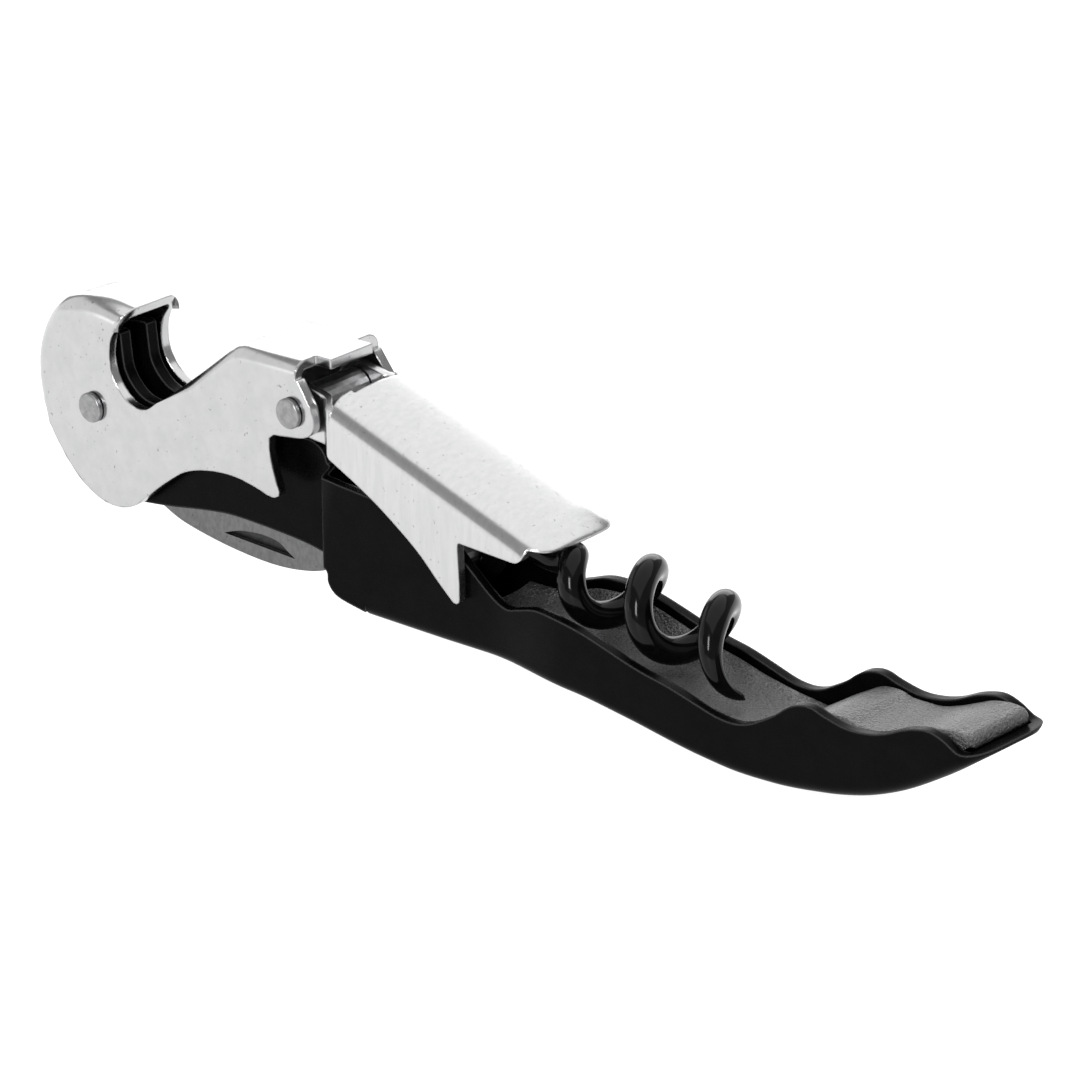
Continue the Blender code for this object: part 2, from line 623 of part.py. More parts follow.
def main():
    for obj in list(bpy.data.objects):
        bpy.data.objects.remove(obj)

    coat = material("black_coat", (0.012, 0.012, 0.013), 0.0, 0.38)
    grain = material("grained_black", (0.02, 0.02, 0.021), 0.0, 0.6)
    chrome = material("polished_chrome", (0.8, 0.8, 0.81), 1.0, 0.12)
    satin = material("satin_chrome", (0.72, 0.72, 0.73), 1.0, 0.25)
    steel = material("rivet_steel", (0.5, 0.5, 0.51), 1.0, 0.4)
    blade_steel = material("blade_steel", (0.2, 0.2, 0.205), 1.0, 0.45)
    gloss = material("worm_coat", (0.008, 0.008, 0.008), 0.0, 0.15)
    nylon = material("nylon", (0.6, 0.6, 0.58), 0.0, 0.5)

    lever_inner = first_half(-WASHER_RADIUS) - FIRST_WALL
    lever_outer = first_half(HEAD_RADIUS)
    lobe_outer = first_half(JOINT_AXIS[0] + HEAD_RADIUS)
    pin_inner = WORM_PIN_RADIUS + BORE_PLAY
    spacer_half = EAR_HALF - EAR_WALL - SPACER_PLAY
    handle = [
        make_shell(coat),
        make_insert(grain),
        rivet("lever_rivet", LEVER_AXIS, RIVET_RADIUS, lever_outer + HEAD_PLAY, steel),
        plain_pin("knife_pin", KNIFE_AXIS, KNIFE_PIN_RADIUS, NECK_HALF, steel),
        plain_pin("worm_pin", WORM_AXIS, WORM_PIN_RADIUS, BOX_HALF, steel),
        plain_pin("spring_pin_front", SPRING_PINS[0], SPRING_PIN_RADIUS, NECK_HALF, steel, 12),
        plain_pin("spring_pin_rear", SPRING_PINS[1], SPRING_PIN_RADIUS, NECK_HALF, steel, 12),
        make_spring(steel),
    ]
    handle += pair("lever_washer", LEVER_AXIS, RIVET_RADIUS + BORE_PLAY, WASHER_RADIUS,
                   NECK_HALF + SIDE_PLAY, lever_inner - SIDE_PLAY, nylon)
    handle += pair("knife_washer", KNIFE_AXIS, pin_inner, 2.0, BLADE_HALF + SIDE_PLAY,
                   NECK_HALF - NECK_WALL - SIDE_PLAY, nylon)
    handle += pair("worm_spacer", WORM_AXIS, pin_inner, 1.9, WIRE_RADIUS + SPACER_PLAY,
                   BOX_HALF - SHELL_WALL - SPACER_PLAY, steel)
    first = [make_first_lever(chrome),
             rivet("joint_rivet", JOINT_AXIS, RIVET_RADIUS, lobe_outer + HEAD_PLAY, steel),
             tube("joint_spacer", JOINT_AXIS, RIVET_RADIUS + BORE_PLAY, 1.9,
                  -spacer_half, spacer_half, steel)]
    second = [make_second_lever(satin)]
    worm = [swept("worm", worm_route(), 12, gloss)]
    knife = [make_blade(blade_steel)]

    root = empty("handle_frame", (0.0, 0.0))
    axes = {"lever_pivot": (LEVER_AXIS, first), "joint_pivot": (JOINT_AXIS, second),
            "worm_pivot": (WORM_AXIS, worm), "knife_pivot": (KNIFE_AXIS, knife)}
    hang_on(root, handle)
    pivots = {}
    for name, (axis, pieces) in axes.items():
        pivots[name] = empty(name, axis)
        hang_on(pivots[name], pieces)
    hang_on(pivots["lever_pivot"], [pivots["joint_pivot"]])
    hang_on(root, [pivots[name] for name in ("lever_pivot", "worm_pivot", "knife_pivot")])
    tools = [obj for obj in bpy.data.objects if obj.type == "MESH" and obj.hide_render]
    hang_on(root, tools)
    root.location = (-0.5 * (HOOK_X + TAIL_X) * MM, 0.0, -FOOT_Z * MM)


main()
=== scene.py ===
import math

import bmesh
import bpy
from mathutils import Matrix, Vector


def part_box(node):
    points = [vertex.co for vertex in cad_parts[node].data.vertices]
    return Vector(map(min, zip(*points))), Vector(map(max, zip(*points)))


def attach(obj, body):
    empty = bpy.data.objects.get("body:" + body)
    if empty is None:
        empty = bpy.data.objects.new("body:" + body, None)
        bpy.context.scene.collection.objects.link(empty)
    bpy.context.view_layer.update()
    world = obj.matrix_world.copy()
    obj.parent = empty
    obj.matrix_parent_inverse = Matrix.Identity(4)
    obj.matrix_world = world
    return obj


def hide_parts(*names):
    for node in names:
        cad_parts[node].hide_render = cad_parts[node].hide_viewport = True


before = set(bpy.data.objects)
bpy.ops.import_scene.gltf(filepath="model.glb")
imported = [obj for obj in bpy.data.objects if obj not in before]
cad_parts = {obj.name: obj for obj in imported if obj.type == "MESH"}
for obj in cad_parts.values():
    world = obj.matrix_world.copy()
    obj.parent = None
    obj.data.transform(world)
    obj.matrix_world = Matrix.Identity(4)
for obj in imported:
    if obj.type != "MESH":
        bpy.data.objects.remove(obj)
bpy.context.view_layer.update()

# Lengths are millimetres in the part's side frame: x from the lever rivet towards the
# tail, z up, y across.  ORIGIN carries them into the row frame.
MM = 0.001
LEVER_AXIS = (0.0, 11.8)
JOINT_AXIS = (29.1, 19.75)
WORM_AXIS = (47.6, 9.9)
KNIFE_AXIS = (5.2, 5.6)
RIVET_LOW, RIVET_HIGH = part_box("lever_rivet")
ORIGIN = Vector(((RIVET_LOW.x + RIVET_HIGH.x) / 2 - LEVER_AXIS[0] * MM, 0.0,
                 (RIVET_LOW.z + RIVET_HIGH.z) / 2 - LEVER_AXIS[1] * MM))

HOOK_X, TAIL_X = -8.9, 112.6
NECK_HALF, NECK_WALL = 2.4, 1.3
BOX_HALF, BODY_HALF, TAIL_HALF = 4.7, 5.75, 5.4
SHELL_WALL, SHELL_BEND = 1.0, 1.3
BEND_RISE = 0.42                          # share of the bend that the open walls end above it
BOX_START, BOX_FLARE, FLOOR_START = 30.7, 1.4, 37.5
FOOT = (84.5, -0.3)
TAIL_ROUND = 2.4
WALL_START, WIDENING = 38.0, 53.0
INSERT_START, INSERT_END, INSERT_GAP = 51.5, 110.9, 0.22
INSERT_ROUND, INSERT_EDGE, INSERT_FLOOR_GAP, INSERT_MIN = 0.9, 0.4, 0.3, 0.25
TROUGH_POWER = 2.6                        # how flat the floor of the insert's hollow is
FIRST_HALF, FIRST_TAPER = 3.9, 0.0586
FIRST_WALL, FIRST_BEND = 1.0, 1.5
TONGUE_HALF, TONGUE_END, LOBE_FRONT, LOBE_TOP = 2.8, 31.7, 29.7, 23.2
HOOK_ROUND, SLOT_HALF, SLOT_TOP = 1.4, 1.3, 12.3
EAR_HALF, EAR_WALL, EAR_RADIUS = 4.3, 0.9, 2.6
SECOND_HALF, SECOND_WALL, SECOND_BEND = 6.0, 1.0, 2.6
SECOND_START, SECOND_RISE, SECOND_SLOPE, SECOND_CROWN = 34.4, 22.9, -0.293, 9
FLARE_START = 32.0                        # where the ears begin to widen into the channel
REAR_STEP_HALF = 2.95
REAR_STEP = [(33.0, 20.4), (34.85, 20.4), (34.85, 25.0), (33.0, 25.0)]
NOSE_X, NOSE_ROUND, NOSE_DROP, NOSE_NARROWING = 61.2, 3.4, 0.9, 0.3
WIRE_RADIUS, COIL_RADIUS, COIL_PITCH = 1.35, 3.15, 8.95
COIL_SLOPE, COIL_TOP_X, EYE_RADIUS = -0.098, 77.9, 2.45
GROWTH_START, GROWTH_END, POINT_LENGTH, POINT_SHARE = 57.0, 64.0, 3.4, 0.06
EYE_TURN, EYE_STEPS, SHANK_START = 335, 48, 48.4
LAST_TURN = 172                           # degrees of coil behind the last crest
RIVET_RADIUS, HEAD_RADIUS, HEAD_HEIGHT, HEAD_PLAY, BORE_PLAY = 1.2, 1.5, 0.6, 0.1, 0.08
BLADE_HALF, TANG_RADIUS, BLADE_TIP = 0.5, 2.5, (35.4, 6.6)
PIN_RADIUS = 1.0                          # knife pin and worm pin
NICK_FOOT, NICK_DEPTH, NICK_SLOPE = 1.5, 0.4, 0.3 / 1.3
SHEET_EDGE, COAT_EDGE, BLADE_EDGE = 0.32, 0.35, 0.1      # radii of the finished edges
FLATNESS = 0.25                           # degrees between faces that are joined
SHORT, STEEPEST = 0.05, 1.6               # half run over which a slope is taken, and its limit
JOIN = 0.02                               # length over which a loft steps
CLEAR = 12.0                              # half width of a tool that cuts right across
QUARTER_STEPS, ARCH_STEPS = 9, 8          # facets of a quarter bend and of half an arched web


# ---- curves ----------------------------------------------------------------
def smooth(points, steps=6):
    """Points of a smooth open curve through the given points."""
    result = []
    ends = [points[0]] + list(points) + [points[-1]]
    for i in range(1, len(ends) - 2):
        a, b, c, d = ends[i - 1], ends[i], ends[i + 1], ends[i + 2]
        for k in range(steps):
            t = k / steps
            result.append(tuple(
                0.5 * (2 * b[j] + (c[j] - a[j]) * t
                       + (2 * a[j] - 5 * b[j] + 4 * c[j] - d[j]) * t ** 2
                       + (3 * b[j] - a[j] - 3 * c[j] + d[j]) * t ** 3)
                for j in range(2)))
    result.append(tuple(points[-1]))
    return result


def arc(centre, radius, start, end, steps):
    result = []
    for k in range(steps + 1):
        angle = math.radians(start + (end - start) * k / steps)
        result.append((centre[0] + radius * math.cos(angle), centre[1] + radius * math.sin(angle)))
    return result


def height_at(points, x):
    """Monotone cubic through the points, level between equal heights."""
    if x <= points[0][0]:
        return points[0][1]
    if x >= points[-1][0]:
        return points[-1][1]
    rises = [(q[1] - p[1]) / (q[0] - p[0]) for p, q in zip(points, points[1:])]
    slopes = [rises[0]]
    for before, after in zip(rises, rises[1:]):
        slopes.append(2 * before * after / (before + after) if before * after > 0 else 0.0)
    slopes.append(rises[-1])
    i = max(k for k in range(len(points) - 1) if points[k][0] <= x)
    (x0, z0), (x1, z1) = points[i], points[i + 1]
    run = x1 - x0
    t = (x - x0) / run
    return ((2 * t ** 3 - 3 * t ** 2 + 1) * z0 + (t ** 3 - 2 * t ** 2 + t) * run * slopes[i]
            + (3 * t ** 2 - 2 * t ** 3) * z1 + (t ** 3 - t ** 2) * run * slopes[i + 1])


def line_at(points, x):
    """Height of a polyline that runs towards +x."""
    for (x0, z0), (x1, z1) in zip(points, points[1:]):
        if x <= x1:
            return z0 + (z1 - z0) * max(x - x0, 0.0) / max(x1 - x0, 1e-6)
    return points[-1][1]


def slope_at(height, x, reach):
    return (height(x + reach) - height(x - reach)) / (2 * reach)


def blend(x, start, end):
    t = min(max((x - start) / (end - start), 0.0), 1.0)
    return t * t * (3 - 2 * t)


def span(start, end, step):
    count = max(1, round((end - start) / step))
    return [start + (end - start) * k / count for k in range(count + 1)]


# ---- profiles ----------------------------------------------------------------
BELLY = [(37.0, 0.85), (46.4, 1.2), (56.7, 1.6), (64.4, 1.5), (71.8, 0.9), (77.3, 0.25),
         (80.5, -0.07), FOOT, (88.7, -0.1), (94.7, 0.85), (98.9, 1.95), (103.1, 3.7),
         (108.5, 6.95), (TAIL_X, 9.9)]
WALL_TOP = smooth([(WALL_START, 13.4), (46.2, 13.2), (50.2, 10.6), (53.8, 8.0), (55.9, 7.3),
                   (57.6, 7.8), (60.6, 8.65), (65.6, 8.35), (72.6, 6.8), (76.7, 6.2),
                   (79.5, 5.6), (82.5, 4.95), (84.5, 4.9), (86.0, 5.25), (87.2, 5.85),
                   (89.2, 7.1), (90.8, 8.4), (92.2, 9.05), (93.6, 9.2), (95.2, 8.8),
                   (97.8, 8.45), (100.2, 8.75), (102.2, 9.4), (104.2, 10.4), (106.0, 11.0),
                   (107.3, 11.15), (108.8, 10.75), (110.2, 10.05), (111.2, 10.0),
                   (112.0, 10.15), (TAIL_X + 1, 10.5)], 10)
INSERT_TOP = [(INSERT_START, 6.2), (55.9, 6.5), (60.0, 7.7), (64.0, 7.9), (66.0, 7.7), (70.0, 6.8),
              (72.6, 6.2), (76.7, 5.6), (80.0, 4.95), (84.7, 4.5), (87.5, 4.4), (88.7, 5.1),
              (92.0, 7.2), (94.7, 8.5), (96.1, 8.6), (97.6, 8.3), (100.5, 8.45), (103.0, 9.2),
              (105.0, 10.1), (107.2, 11.0), (109.2, 11.3), (INSERT_END, 11.15)]
TROUGH = [(INSERT_START, 0.4), (55.9, 0.9), (60.0, 1.85), (64.0, 2.2), (66.0, 2.15), (70.0, 1.6),
          (72.6, 1.3), (76.7, 1.0), (80.0, 1.0), (82.5, 0.85), (87.5, 0.0)]
HOOK_WEB = smooth([(-8.4, 9.9), (HOOK_X, 12.8), (-8.6, 15.9), (-7.2, 19.1), (-5.1, 21.4),
                   (-2.6, 22.5), (0.6, 22.95), (4.7, 22.8)])
BACK_WEB = ([(14.0, 18.6), (19.3, 22.9)]
            + smooth([(20.0, 23.4), (20.8, 23.9), (21.9, 24.25)], 4)
            + [(LOBE_FRONT, 24.85), (TONGUE_END, 24.95)])


def shell_half(x):
    half = NECK_HALF + (BOX_HALF - NECK_HALF) * blend(x, BOX_START, BOX_START + BOX_FLARE)
    half += (BODY_HALF - BOX_HALF) * blend(x, WIDENING, 64.0)
    half -= (BODY_HALF - TAIL_HALF) * blend(x, 76.0, 92.0)
    into_tail = max(0.0, x - (TAIL_X - TAIL_ROUND)) / TAIL_ROUND
    return half - TAIL_ROUND * (1 - math.sqrt(1 - min(into_tail, 1.0) ** 2))


def shell_wall(x):
    return NECK_WALL + (SHELL_WALL - NECK_WALL) * blend(x, BOX_START, BOX_START + BOX_FLARE)


def shell_floor(x):
    return height_at(BELLY, x) if x >= FLOOR_START else -12.0


def first_half(x):
    return FIRST_HALF + FIRST_TAPER * x


def second_half(x):
    half = EAR_HALF + (SECOND_HALF - EAR_HALF) * blend(x, FLARE_START, SECOND_START)
    into_nose = max(0.0, x - (NOSE_X - NOSE_ROUND)) / NOSE_ROUND
    return half - NOSE_ROUND * NOSE_NARROWING * (1 - math.sqrt(1 - min(into_nose, 1.0) ** 2))


def second_wall(x):
    return EAR_WALL + (SECOND_WALL - EAR_WALL) * blend(x, FLARE_START, SECOND_START)


def second_web(x):
    if x < SECOND_START:
        return 36.0
    into_nose = max(0.0, x - (NOSE_X - NOSE_ROUND)) / NOSE_ROUND
    drop = NOSE_DROP * (1 - math.sqrt(1 - min(into_nose, 1.0) ** 2))
    return SECOND_RISE + SECOND_SLOPE * (x - SECOND_START) - drop


# ---- meshes ------------------------------------------------------------------
def make(name, bm):
    """Turn a bmesh in millimetres into an object in the row frame."""
    bmesh.ops.recalc_face_normals(bm, faces=bm.faces)
    if bm.calc_volume(signed=True) < 0:
        bmesh.ops.reverse_faces(bm, faces=bm.faces)
    bmesh.ops.scale(bm, vec=(MM, MM, MM), verts=bm.verts)
    bmesh.ops.translate(bm, vec=ORIGIN, verts=bm.verts)
    mesh = bpy.data.meshes.new(name)
    bm.to_mesh(mesh)
    bm.free()
    obj = bpy.data.objects.new(name, mesh)
    bpy.context.scene.collection.objects.link(obj)
    return obj


def loft(name, rings):
    """Closed body through rings of the same number of points."""
    bm = bmesh.new()
    loops = [[bm.verts.new(p) for p in ring] for ring in rings]
    count = len(rings[0])
    for a, b in zip(loops, loops[1:]):
        for i in range(count):
            j = (i + 1) % count
            bm.faces.new((a[i], a[j], b[j], b[i]))
    bm.faces.new(loops[0])
    bm.faces.new(list(reversed(loops[-1])))
    return make(name, bm)


def prism(name, outline, y_low, y_high):
    return loft(name, [[(x, y, z) for x, z in outline] for y in (y_low, y_high)])


def turned(name, axis, profile, steps=64):
    rings = []
    for radius, y in profile:
        rings.append([(px, y, pz) for px, pz in arc(axis, radius, 0, 360, steps)[:-1]])
    return loft(name, rings)


def cut(target, tool, operation="DIFFERENCE"):
    """Exact Boolean, applied at once; the tool is deleted."""
    mod = target.modifiers.new("Cut", "BOOLEAN")
    mod.operation = operation
    mod.solver = "EXACT"
    mod.object = tool
    bpy.context.view_layer.update()
    graph = bpy.context.evaluated_depsgraph_get()
    mesh = bpy.data.meshes.new_from_object(target.evaluated_get(graph))
    target.modifiers.clear()
    target.data = mesh
    bpy.data.objects.remove(tool)


def clean(obj, merge=0.03):
    """Weld the short edges a cut leaves and join flat faces."""
    bm = bmesh.new()
    bm.from_mesh(obj.data)
    bmesh.ops.remove_doubles(bm, verts=bm.verts, dist=merge * MM)
    bmesh.ops.dissolve_degenerate(bm, edges=bm.edges, dist=0.5 * merge * MM)
    bmesh.ops.dissolve_limit(bm, angle_limit=math.radians(FLATNESS), verts=bm.verts, edges=bm.edges)
    bm.to_mesh(obj.data)
    bm.free()


def finished(obj, mat, body, nodes, sharp=35):
    """Material, shading, and the CAD nodes the piece stands for."""
    obj.data.materials.clear()
    obj.data.materials.append(mat)
    obj.data.shade_smooth()
    obj.data.set_sharp_from_angle(angle=math.radians(sharp))
    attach(obj, body)
    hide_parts(*nodes)


def channel(name, stations, half, wall, web, open_z, bend, crown=0.0):
    """Folded-sheet channel along x; the web is at web(x) and the walls run to open_z.

    crown is the angle, in degrees, at which an arched web meets its bends.
    """
    side = 1 if open_z > web(stations[-1]) else -1
    tilt = math.radians(crown)
    turn = [(math.pi / 2 - tilt) * k / QUARTER_STEPS for k in range(QUARTER_STEPS + 1)]
    rings = []
    for x in stations:
        w, t, z = half(x), wall(x), web(x)
        slope = min(max(slope_at(web, x, SHORT), -STEEPEST), STEEPEST)
        thick = t * math.sqrt(1 + slope ** 2)
        ring = []
        for width, level, radius, order in ((w, z, bend, 1),
                                            (w - t, z + side * thick, bend - t, -1)):
            points = [(-width, open_z)]
            arch = (width - radius) / math.sin(tilt) + radius if crown else 0.0
            centre = level + side * (arch * (1 - math.cos(tilt)) + radius * math.cos(tilt))
            points += [(-width + radius * (1 - math.cos(a)), centre - side * radius * math.sin(a))
                       for a in turn]
            points += [(-arch * math.sin(b), level + side * arch * (1 - math.cos(b)))
                       for b in (tilt * (1 - k / ARCH_STEPS) for k in range(1, ARCH_STEPS) if crown)]
            points += [(-y, up) for y, up in reversed(points)]
            ring += [(x, y, up) for y, up in points[::order]]
        rings.append(ring)
    return loft(name, rings)


def bent_slab(name, outline, half, bend):
    """Solid of a side outline (x, z, share) whose side edges are rounded by share * bend.

    A fourth value gives the point's whole shift at the side, in place of the rounding.
    """
    shifts = []
    for i, point in enumerate(outline):
        (x0, z0), (x1, z1) = outline[i - 1][:2], outline[(i + 1) % len(outline)][:2]
        length = math.hypot(x1 - x0, z1 - z0)
        reach = bend * point[2]
        shifts.append(point[3] if len(point) > 3
                      else ((z1 - z0) / length * reach, -(x1 - x0) / length * reach))
    levels = [math.radians(90 * k / QUARTER_STEPS) for k in range(QUARTER_STEPS + 1)]
    rings = []
    for side in (-1, 1):
        for a in levels if side < 0 else reversed(levels):
            sink = 1 - math.sin(a)
            ring = []
            for point, (nx, nz) in zip(outline, shifts):
                rise = bend * max(point[2], 1.0) * (1 - math.cos(a))
                px, pz = point[0] + nx * sink, point[1] + nz * sink
                ring.append((px, side * (half(px) - rise), pz))
            rings.append(ring)
    return loft(name, rings)


def bore(obj, axis, radius):
    cut(obj, turned("bore", axis, [(radius, -8), (radius, 8)]))


# ---- materials ---------------------------------------------------------------
def noise(nodes, links, coord, scale, stretch=(1, 1, 1), turn=(0, 0, 0), detail=3.0):
    mapping = nodes.new("ShaderNodeMapping")
    mapping.inputs["Scale"].default_value = stretch
    mapping.inputs["Rotation"].default_value = [math.radians(a) for a in turn]
    links.new(coord.outputs["Object"], mapping.inputs["Vector"])
    texture = nodes.new("ShaderNodeTexNoise")
    texture.inputs["Scale"].default_value = scale
    texture.inputs["Detail"].default_value = detail
    texture.inputs["Roughness"].default_value = 0.6
    links.new(mapping.outputs["Vector"], texture.inputs["Vector"])
    return texture.outputs["Fac"]


def ranged(nodes, links, value, low, high, to_low, to_high):
    node = nodes.new("ShaderNodeMapRange")
    for socket, number in (("From Min", low), ("From Max", high),
                           ("To Min", to_low), ("To Max", to_high)):
        node.inputs[socket].default_value = number
    links.new(value, node.inputs["Value"])
    return node.outputs["Result"]


def mixed(nodes, links, share, low, high):
    node = nodes.new("ShaderNodeMix")
    node.data_type = "RGBA"
    links.new(share, node.inputs["Factor"])
    for socket, value in ((node.inputs[6], low), (node.inputs[7], high)):
        if isinstance(value, tuple):
            socket.default_value = (*value, 1.0)
        else:
            links.new(value, socket)
    return node.outputs[2]


def surface(name, low, high, metallic, rough, scale, stretch=(1, 1, 1), turn=(0, 0, 0),
            grain=0.0, grain_scale=6000.0, bump=0.0, specular=0.5, pits=None, edge_light_tint=None, edge=0.0):
    """Principled material whose colour and roughness vary with a stretched noise.

    edge is the radius, in millimetres, that sharp edges are shaded with.
    """
    mat = bpy.data.materials.new(name)
    mat.use_nodes = True
    nodes, links = mat.node_tree.nodes, mat.node_tree.links
    shader = nodes["Principled BSDF"]
    shader.inputs["Metallic"].default_value = metallic
    shader.inputs["Specular IOR Level"].default_value = specular
    coord = nodes.new("ShaderNodeTexCoord")
    broad = noise(nodes, links, coord, scale, stretch, turn)
    colour = mixed(nodes, links, ranged(nodes, links, broad, 0.35, 0.65, 0, 1), low, high)
    if pits:
        spots = noise(nodes, links, coord, 2400.0, detail=1.0)
        colour = mixed(nodes, links, ranged(nodes, links, spots, 0.71, 0.76, 0, 1), colour, pits)
    if edge:
        rounding = nodes.new("ShaderNodeBevel")
        rounding.samples = 6
        rounding.inputs["Radius"].default_value = edge * MM
    # sharp edges are lightened towards edge_light_tint: a painted highlight along the rims
    if edge and edge_light_tint:
        flat = nodes.new("ShaderNodeVectorMath")
        flat.operation = "DOT_PRODUCT"
        links.new(rounding.outputs["Normal"], flat.inputs[0])
        links.new(nodes.new("ShaderNodeNewGeometry").outputs["Normal"], flat.inputs[1])
        colour = mixed(nodes, links, ranged(nodes, links, flat.outputs["Value"], 0.98, 0.8, 0, 1),
                       colour, edge_light_tint)
    links.new(colour, shader.inputs["Base Color"])
    fine = noise(nodes, links, coord, grain_scale, stretch, turn, detail=2.0)
    links.new(ranged(nodes, links, fine, 0.3, 0.7, *rough), shader.inputs["Roughness"])
    relief = nodes.new("ShaderNodeBump")
    relief.inputs["Strength"].default_value = bump
    relief.inputs["Distance"].default_value = grain * MM
    links.new(fine, relief.inputs["Height"])
    if edge:
        links.new(rounding.outputs["Normal"], relief.inputs["Normal"])
    links.new(relief.outputs["Normal"], shader.inputs["Normal"])
    return mat


CHROME = surface("chrome_plate", (0.45, 0.452, 0.455), (0.485, 0.485, 0.488), 1.0, (0.16, 0.20),
                 500.0, turn=(0, 35, 0), grain=0.004, grain_scale=2500.0, bump=0.04,
                 pits=(0.28, 0.28, 0.28), edge=SHEET_EDGE)
SATIN = surface("satin_plate", (0.50, 0.502, 0.505), (0.535, 0.535, 0.538), 1.0, (0.20, 0.26),
                900.0, stretch=(2.0, 1.0, 0.25), grain=0.003, grain_scale=3000.0, bump=0.03,
                pits=(0.36, 0.36, 0.36), edge=SHEET_EDGE)
# the coat's rims get a painted highlight, a lighter grey along its edges
COAT = surface("black_coat_look", (0.0012, 0.0012, 0.0013), (0.002, 0.002, 0.0021), 0.0,
               (0.22, 0.30), 500.0, grain=0.005, grain_scale=4000.0, bump=0.06, specular=0.028,
               edge_light_tint=(0.06, 0.06, 0.06), edge=COAT_EDGE)
GRAINED = surface("grained_look", (0.006, 0.006, 0.0062), (0.085, 0.085, 0.087), 0.0, (0.26, 0.40),
                  5200.0, grain=0.35, grain_scale=4200.0, bump=1.0, specular=1.0, edge=0.2)
# the rivet heads' edges get a painted highlight, a lighter grey along their rims
RIVET = surface("rivet_look", (0.22, 0.222, 0.225), (0.30, 0.30, 0.303), 1.0, (0.28, 0.42), 1800.0,
                grain=0.02, grain_scale=5000.0, bump=0.3, edge_light_tint=(0.5, 0.5, 0.5), edge=0.1)
BLADE = surface("blade_look", (0.13, 0.131, 0.133), (0.17, 0.17, 0.172), 1.0, (0.34, 0.46), 2600.0,
                stretch=(1.0, 1.0, 0.6), grain=0.02, grain_scale=7000.0, bump=0.3,
                pits=(0.07, 0.07, 0.07), edge=BLADE_EDGE)
WORM = surface("worm_look", (0.0012, 0.0012, 0.0012), (0.0025, 0.0025, 0.0025), 0.0, (0.10, 0.15),
               800.0, grain=0.003, grain_scale=2500.0, bump=0.04, specular=0.16)
# darker steel for the nail nick's floor: painted shade in the recess
NICK_SHADE = surface("nick_shade_look", (0.03, 0.03, 0.031), (0.05, 0.05, 0.051), 1.0, (0.40, 0.5), 2600.0,
               grain=0.02, grain_scale=7000.0, bump=0.3)
NYLON = surface("nylon_look", (0.35, 0.35, 0.34), (0.5, 0.5, 0.48), 0.0, (0.4, 0.55), 900.0,
                grain=0.02, bump=0.2)
FLOOR = surface("floor_look", (0.29, 0.29, 0.29), (0.31, 0.31, 0.31), 0.0, (0.55, 0.65), 8.0)
FLOOR_SHADER = FLOOR.node_tree.nodes["Principled BSDF"]
FLOOR_SHADER.inputs["Emission Color"].default_value = (1.0, 1.0, 1.0, 1.0)
FLOOR_SHADER.inputs["Emission Strength"].default_value = 0.95


# ---- handle ------------------------------------------------------------------
def make_shell():
    rear = span(WALL_START, WIDENING, 0.75) + span(WIDENING, TAIL_X - TAIL_ROUND, 0.6)[1:]
    stations = [-8.0, 12.0, 24.0, BOX_START]
    stations += span(BOX_START, BOX_START + BOX_FLARE, BOX_FLARE / 10)[1:]
    stations += [FLOOR_START - JOIN, FLOOR_START] + rear
    stations += [TAIL_X - TAIL_ROUND * share for share in (0.8, 0.6, 0.42, 0.28, 0.16, 0.08, 0.0)]
    shell = channel("handle_shell_fine", stations, shell_half, shell_wall, shell_floor,
                    30.0, SHELL_BEND)
    tops = [(x, line_at(WALL_TOP, x)) for x in stations if x >= WALL_START]
    outline = smooth([(3.7, 2.5), (8.8, 3.3), (14.3, 4.4), (18.5, 4.9), (26.6, 4.9), (31.0, 4.4)])
    outline += smooth([(32.3, 4.3), (32.55, 3.9), (32.6, 3.1), (33.2, 2.3), (34.4, 1.8),
                       (FLOOR_START, height_at(BELLY, FLOOR_START) + BEND_RISE * SHELL_BEND)], 4)
    outline += [(FLOOR_START + 0.5, -2.0), (TAIL_X + 1, -2.0), (TAIL_X + 1, 11.0)]
    outline += list(reversed(tops))
    outline += [(34.0, 13.5), (32.0, 13.6)]
    outline += smooth([(30.5, 13.9), (30.1, 14.8), (29.2, 15.5), (27.4, 15.7), (21.0, 14.8),
                       (13.0, 14.2),
                       (9.6, 14.2), (7.6, 13.6), (5.6, 13.75), (4.1, 14.7), (3.1, 16.1),
                       (2.8, 17.8), (2.6, 19.6)])
    outline += smooth([(2.2, 19.8), (-1.0, 19.0), (-4.3, 16.2), (-5.6, 13.2)])
    outline += arc(LEVER_AXIS, 5.8, 180, 278, 24)
    cut(shell, prism("side", outline, -CLEAR, CLEAR), "INTERSECT")
    for axis, radius in ((LEVER_AXIS, RIVET_RADIUS), (KNIFE_AXIS, PIN_RADIUS),
                         (WORM_AXIS, PIN_RADIUS)):
        bore(shell, axis, radius + BORE_PLAY)
    clean(shell)
    finished(shell, COAT, "handle", ["handle_shell"])


